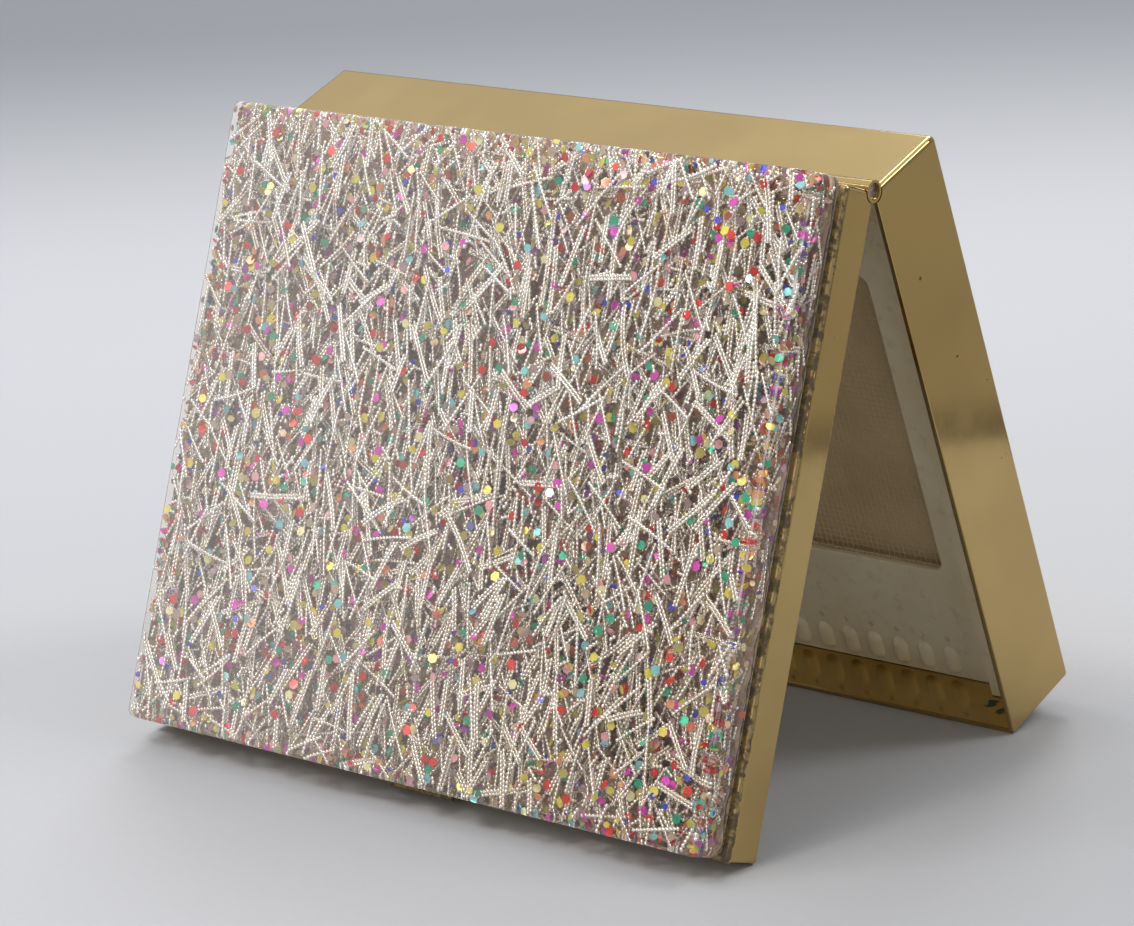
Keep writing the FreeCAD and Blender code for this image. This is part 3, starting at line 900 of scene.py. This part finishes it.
def powder_height(x, s):
    """Depth of the pressed powder's face: puff sweeps, and a little loss along the middle."""
    sweep = 0.05 * np.sin(0.45 * np.hypot(x + 60.0, s - 80.0)) + 0.03 * np.sin(1.1 * x + 0.4 * s)
    worn = 0.35 * np.exp(-((x - 4.0) / 16.0) ** 2 - ((s - 33.0) / 12.0) ** 2)
    return sweep + worn


def into_rounded(x, s, low, high, corner):
    """Moves points in the corner squares onto the rounded corners."""
    cx = np.clip(x, low[0] + corner, high[0] - corner)
    cs = np.clip(s, low[1] + corner, high[1] - corner)
    away = np.hypot(x - cx, s - cs)
    shrink = np.where(away > corner, corner / np.maximum(away, 1e-9), 1.0)
    return cx + (x - cx) * shrink, cs + (s - cs) * shrink


def powder_cake(material):
    """The pressed powder: an uneven face, crumbled edges and a flat underside."""
    rng = np.random.default_rng(SEED + 3)
    low, high = extent("powder_cake", "base")
    columns = round((high[0] - low[0]) / POWDER_STEP)
    rows = round((high[1] - low[1]) / POWDER_STEP)
    x, s = np.meshgrid(np.linspace(low[0], high[0], columns + 1),
                       np.linspace(low[1], high[1], rows + 1), indexing="ij")
    x, s = into_rounded(x, s, low, high, POWDER_CORNER)
    edge = np.minimum.reduce([x - low[0], high[0] - x, s - low[1], high[1] - s])
    crumble = np.clip(1.0 - edge / CRUMBLED, 0.0, 1.0) * rng.uniform(*CRUMBLE_DEPTH, x.shape)
    grain = rng.normal(0.0, POWDER_GRAIN, x.shape)
    top = low[2] + POWDER_SUNK + powder_height(x, s) + crumble + grain
    upper = np.stack([x, s, np.maximum(top, low[2])], -1).reshape(-1, 3)
    lower = np.stack([x, s, np.full(x.shape, high[2])], -1).reshape(-1, 3)
    index = np.arange(len(upper)).reshape(x.shape)
    cells = np.stack([index[:-1, :-1], index[:-1, 1:], index[1:, 1:], index[1:, :-1]], -1)
    cells = cells.reshape(-1, 4)
    rim = np.concatenate([index[:-1, 0], index[-1, :-1], index[:0:-1, -1], index[0, :0:-1]])
    after = np.roll(rim, -1)
    count = len(upper)
    skirt = np.stack([rim, after, after + count, rim + count], -1)
    faces = cells.tolist() + (cells[:, ::-1] + count).tolist() + skirt.tolist()
    piece = add_piece("powder_face", "base", np.concatenate([upper, lower]), faces, material)
    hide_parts("powder_cake")


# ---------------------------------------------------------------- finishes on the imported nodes

GLUE_ON_LID = 3.58         # depth on the lid from which old glue stains its brass
SIDE_SPECKS = (((11.6, 3.3), 0.22), ((22.0, 5.8), 0.19))   # s and n, and radius
CORNER_SPECK = ((35.0, 63.2, 2.4), 0.62)
CORNER_GREEN = ((33.4, 63.2, 3.2), 0.72)


def paint(material, *nodes):
    """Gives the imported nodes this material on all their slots."""
    for name in nodes:
        for slot in NODES[name].material_slots:
            slot.link = "OBJECT"
            slot.material = material


def finish_packed_nodes():
    side = float(extent("base_pan", "base")[1][0])
    specks = [((side, *place), radius) for place, radius in SIDE_SPECKS]
    base_brass = brass("brass_base", "base", spots=[*specks, CORNER_SPECK], green=[CORNER_GREEN])
    lid_brass = brass("brass_lid", "lid", glue_line=GLUE_ON_LID)
    paint(base_brass, "base_pan", "base_hinge_leaf", "base_keeper", "frame_detents")
    paint(steel("pin_steel"), "hinge_pin")
    paint(lid_brass, "lid_pan", "lid_hinge_leaf", "thumb_piece", "lid_tongue")
    paint(gilt("gilt_tray", "base"), "powder_tray")
    paint(gilt("gilt_rim", "lid"), "mirror_frame")
    paint(clear_acrylic("clear_acrylic", "lid"), "confetti_slab")
    paint(cream_plastic("cream_plastic"), "sifter_frame", "net_ring")
    paint(mirror("mirror"), "mirror_glass")
    paint(backing_card("backing_card"), "mirror_backing")


# ---------------------------------------------------------------- stage, lights and camera

PAPER_SIZE = 6.0
TABLE_START = 0.150        # from the object's middle to the paper's right-hand edge
TABLE_SIZE = (0.80, 1.6)
TABLE_LIFT = 0.0004        # keeps it clear of the paper's plane
SOFTBOXES = {              # place, what it looks towards, size, radiance, colour
    "ceiling": ((-0.38, 0.30, 0.85), (-0.2, 0.1, 0.0), (1.1, 1.0), 0.38, (1.0, 0.98, 0.95)),
    "lamp": ((0.50, 0.36, 0.86), (0, 0, 0.03), (0.30, 0.30), 8.0, (1.0, 0.98, 0.94)),
    "rear": ((-0.38, 0.62, 0.80), (0, 0, 0.03), (0.35, 0.35), 8.0, (1.0, 0.99, 0.97)),
    "front": ((-0.22, -0.42, 0.90), (0, 0, 0.03), (0.60, 0.45), 5.0, (1.0, 0.985, 0.96)),
    "low_front": ((0.02, -1.00, 0.30), (0, 0, 0.03), (0.45, 0.45), 3.2, (1.0, 0.985, 0.96)),
    "side": ((0.85, -0.50, 0.32), (0, 0, 0.03), (0.80, 0.55), 0.75, (1.0, 0.98, 0.94)),
    "front_lamp": ((-0.10, -0.45, 0.90), (0, 0, 0.03), (0.11, 0.11), 30.0, (1.0, 0.99, 0.97)),
}


def stage_plane(name, material, centre, size, turned=0.0):
    """A level rectangle that isn't part of the object."""
    half_x, half_y = size[0] / 2, size[1] / 2
    corners = [(-half_x, -half_y, 0), (half_x, -half_y, 0), (half_x, half_y, 0), (-half_x, half_y, 0)]
    mesh = bpy.data.meshes.new(name)
    mesh.from_pydata(corners, [], [(0, 1, 2, 3)])
    mesh.materials.append(material)
    plane = bpy.data.objects.new(name, mesh)
    plane.location = centre
    plane.rotation_euler.z = turned
    bpy.context.scene.collection.objects.link(plane)
    return plane


def table_beside_paper():
    """Past the paper's right-hand edge the table is darker. Only the brass mirrors it."""
    width = TABLE_SIZE[0]
    centre = Vector((*ASIDE, 0.0)) * (TABLE_START + width / 2) + Vector((0.0, 0.0, TABLE_LIFT))
    yaw = math.radians(CAMERA_YAW)
    table = stage_plane("table", table_top("table_top", width), centre, TABLE_SIZE, yaw)
    table.visible_camera = False


def softbox(name, at, towards, size, radiance, colour):
    """A rectangular light that sends out this radiance, looking towards a point."""
    light = bpy.data.lights.new(name, "AREA")
    light.shape = "RECTANGLE"
    light.size, light.size_y = size
    light.energy = radiance * math.pi * size[0] * size[1]
    light.color = colour
    lamp = bpy.data.objects.new(name, light)
    lamp.location = at
    aim = Vector(towards) - Vector(at)
    lamp.rotation_euler = aim.to_track_quat("-Z", "Y").to_euler()
    bpy.context.scene.collection.objects.link(lamp)


def room_light():
    """A pale room that is bright behind the object and dim on the camera's side."""
    world = bpy.data.worlds.new("room")
    world.use_nodes = True
    tree = world.node_tree
    tree.nodes.clear()
    way = add(tree, "TexCoord").outputs["Generated"]
    ahead = add(tree, "VectorMath", {0: way, 1: (*AHEAD, 0.0)}, operation="DOT_PRODUCT")
    behind = remap(tree, ahead.outputs["Value"], -0.35, 0.55)
    height = add(tree, "SeparateXYZ", {0: way}).outputs[2]
    front = mix(tree, remap(tree, height, 0.2, 0.7), (0.12, 0.118, 0.115), (0.48, 0.475, 0.46))
    colour = mix(tree, behind, front, (0.50, 0.53, 0.58))
    shown = add(tree, "Background", {"Color": colour, "Strength": 1.0})
    add(tree, "OutputWorld", {"Surface": shown.outputs[0]})
    bpy.context.scene.world = world


def studio():
    paper_size = (PAPER_SIZE, PAPER_SIZE)
    stage_plane("studio_paper", studio_paper("studio_paper"), (0, 0, 0), paper_size)
    table_beside_paper()
    room_light()
    for name, values in SOFTBOXES.items():
        softbox(name, *values)
    bpy.data.objects["low_front"].visible_camera = False


def camera():
    yaw, pitch, roll = (math.radians(a) for a in (CAMERA_YAW, CAMERA_PITCH, CAMERA_ROLL))
    look = Vector((-math.sin(yaw) * math.cos(pitch), math.cos(yaw) * math.cos(pitch),
                   -math.sin(pitch)))
    right = Vector((math.cos(yaw), math.sin(yaw), 0.0))
    up = right.cross(look)
    right, up = (right * math.cos(roll) + up * math.sin(roll),
                 up * math.cos(roll) - right * math.sin(roll))
    lens = bpy.data.cameras.new("camera")
    lens.lens = LENS
    lens.sensor_width = SENSOR
    lens.sensor_fit = "HORIZONTAL"
    lens.clip_start, lens.clip_end = CLIP
    eye = bpy.data.objects.new("camera", lens)
    place = Vector((CAMERA_FROM_HINGE[0], AXIS_AT.y + CAMERA_FROM_HINGE[1], CAMERA_HEIGHT))
    turn = Matrix((right, up, -look)).transposed().to_4x4()
    eye.matrix_world = Matrix.Translation(place) @ turn
    bpy.context.scene.collection.objects.link(eye)
    bpy.context.scene.camera = eye


def main():
    finish_packed_nodes()
    wire_bits(bullion("bullion_silver"))
    confetti_flakes()
    crushed_dust(glitter_dust("glitter_dust"))
    glue_sheet(aged_glue("aged_glue", SLAB_LOW[2]))
    sifter_net(net_thread("net_thread"))
    powder_cake(face_powder("face_powder"))
    studio()
    camera()
    bpy.context.scene.view_settings.view_transform = "Standard"


main()
